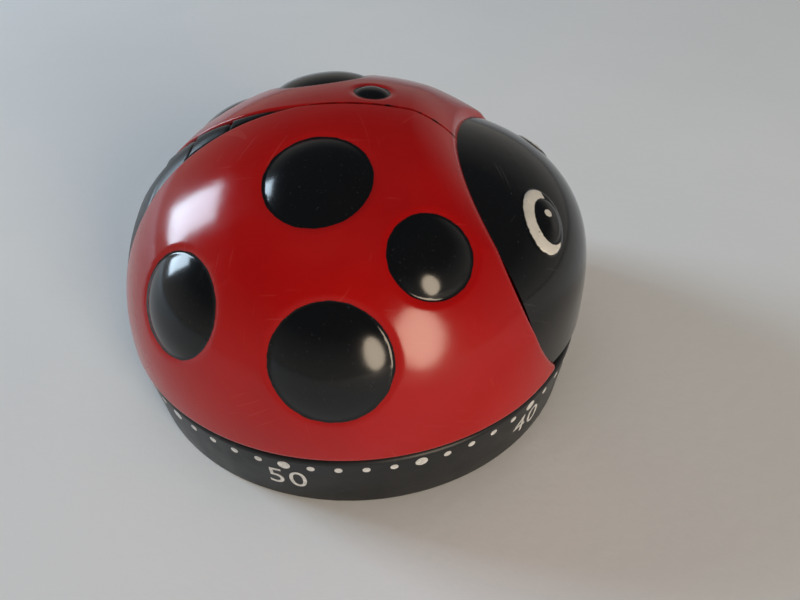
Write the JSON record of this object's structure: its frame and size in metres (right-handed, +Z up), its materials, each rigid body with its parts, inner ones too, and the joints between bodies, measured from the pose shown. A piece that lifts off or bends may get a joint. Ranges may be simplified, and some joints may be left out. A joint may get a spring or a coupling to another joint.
{
  "type": "kitchen timer",
  "caption": "Wind-up kitchen timer: a domed ladybird shell turns on a low round base with a printed minute dial and drives a spring-powered gear train, escapement and bell.",
  "frame": {"origin": "centre of the flat bottom face that the timer stands on, on the axis that the shell turns about", "axes": "+Z up, along the axis that the shell turns about; +X towards the ladybird's head in the rest position; +Y completes the right-handed frame"},
  "size_m": [0.0728, 0.0728, 0.0443],
  "materials": {
    "red_gloss": "gloss moulded plastic",
    "black_gloss": "gloss moulded plastic",
    "dark_satin": "satin moulded plastic",
    "dark_inner": "matt moulded plastic",
    "print_white": "pad-printed ink",
    "brass": "stamped brass",
    "steel": "turned steel",
    "spring_steel": "blued spring steel",
    "bell_steel": "plated steel"
  },
  "bodies": {
    "base": {"base_ring": "dark_satin", "bottom_cover": "dark_satin", "cover_screws": "steel", "bell": "bell_steel", "bell_screw": "steel", "lower_plate": "brass", "plate_screws": "steel", "upper_plate": "brass", "pillars": "steel", "pillar_nuts": "steel", "mainspring": "spring_steel", "spring_post": "steel", "hammer_spring": "steel"},
    "shell": {"wing_case": "red_gloss", "head": "black_gloss", "abdomen": "black_gloss", "body_shell": "black_gloss", "drive_hub": "dark_inner", "hub_screws": "steel", "shell_screws": "steel", "main_arbor": "steel", "trip_cam": "brass", "ratchet_wheel": "steel"},
    "main_wheel": {"main_wheel": "brass", "click_stud": "steel", "click_spring": "steel"},
    "click": {"click": "steel"},
    "second_wheel": {"second_wheel": "brass", "second_pinion": "steel"},
    "third_wheel": {"third_wheel": "brass", "third_pinion": "steel"},
    "escape_wheel": {"escape_wheel": "brass", "escape_pinion": "steel"},
    "balance": {"pallet": "steel", "balance_bar": "brass", "balance_staff": "steel"},
    "hammer": {"hammer": "steel", "hammer_tail": "steel", "hammer_staff": "steel"}
  },
  "joints": [
    {"name": "shell_turn", "type": "hinge", "parent": "base", "child": "shell", "pos_m": [0, 0, 0.011], "axis": [0, 0, 1], "range_deg": [-156, 198]},
    {"name": "main_wheel_turn", "type": "hinge", "parent": "base", "child": "main_wheel", "pos_m": [0, 0, 0.0205], "axis": [0, 0, 1], "range_deg": [-156, 198]},
    {"name": "second_wheel_turn", "type": "hinge", "parent": "base", "child": "second_wheel", "pos_m": [-0.01644, -0.00599, 0.023], "axis": [0, 0, 1], "range_deg": [-1188, 936]},
    {"name": "third_wheel_turn", "type": "hinge", "parent": "base", "child": "third_wheel", "pos_m": [-0.00901, -0.01616, 0.0137], "axis": [0, 0, 1], "range_deg": [-5616, 7128]},
    {"name": "escape_wheel_turn", "type": "hinge", "parent": "base", "child": "escape_wheel", "pos_m": [0.00234, -0.02006, 0.0169], "axis": [0, 0, 1], "range_deg": [-35640, 28080]},
    {"name": "balance_swing", "type": "hinge", "parent": "base", "child": "balance", "pos_m": [0.00964, -0.01752, 0.017], "axis": [0, 0, 1], "range_deg": [-5, 5]},
    {"name": "click_lift", "type": "hinge", "parent": "main_wheel", "child": "click", "pos_m": [0, 0.0094, 0.0217], "axis": [0, 0, 1], "range_deg": [0, 7], "stiffness_Nm_per_rad": 0.0005, "springref_deg": -17.19},
    {"name": "hammer_swing", "type": "hinge", "parent": "base", "child": "hammer", "pos_m": [0.01125, 0.01949, 0.012], "axis": [0, 0, 1], "range_deg": [-14, 0], "stiffness_Nm_per_rad": 0.002, "springref_deg": 11.46}
  ],
  "couplings": [
    {"joint": "main_wheel_turn", "follows": "shell_turn", "ratio": 1},
    {"joint": "second_wheel_turn", "follows": "shell_turn", "ratio": -6},
    {"joint": "third_wheel_turn", "follows": "shell_turn", "ratio": 36},
    {"joint": "escape_wheel_turn", "follows": "shell_turn", "ratio": -180}
  ]
}
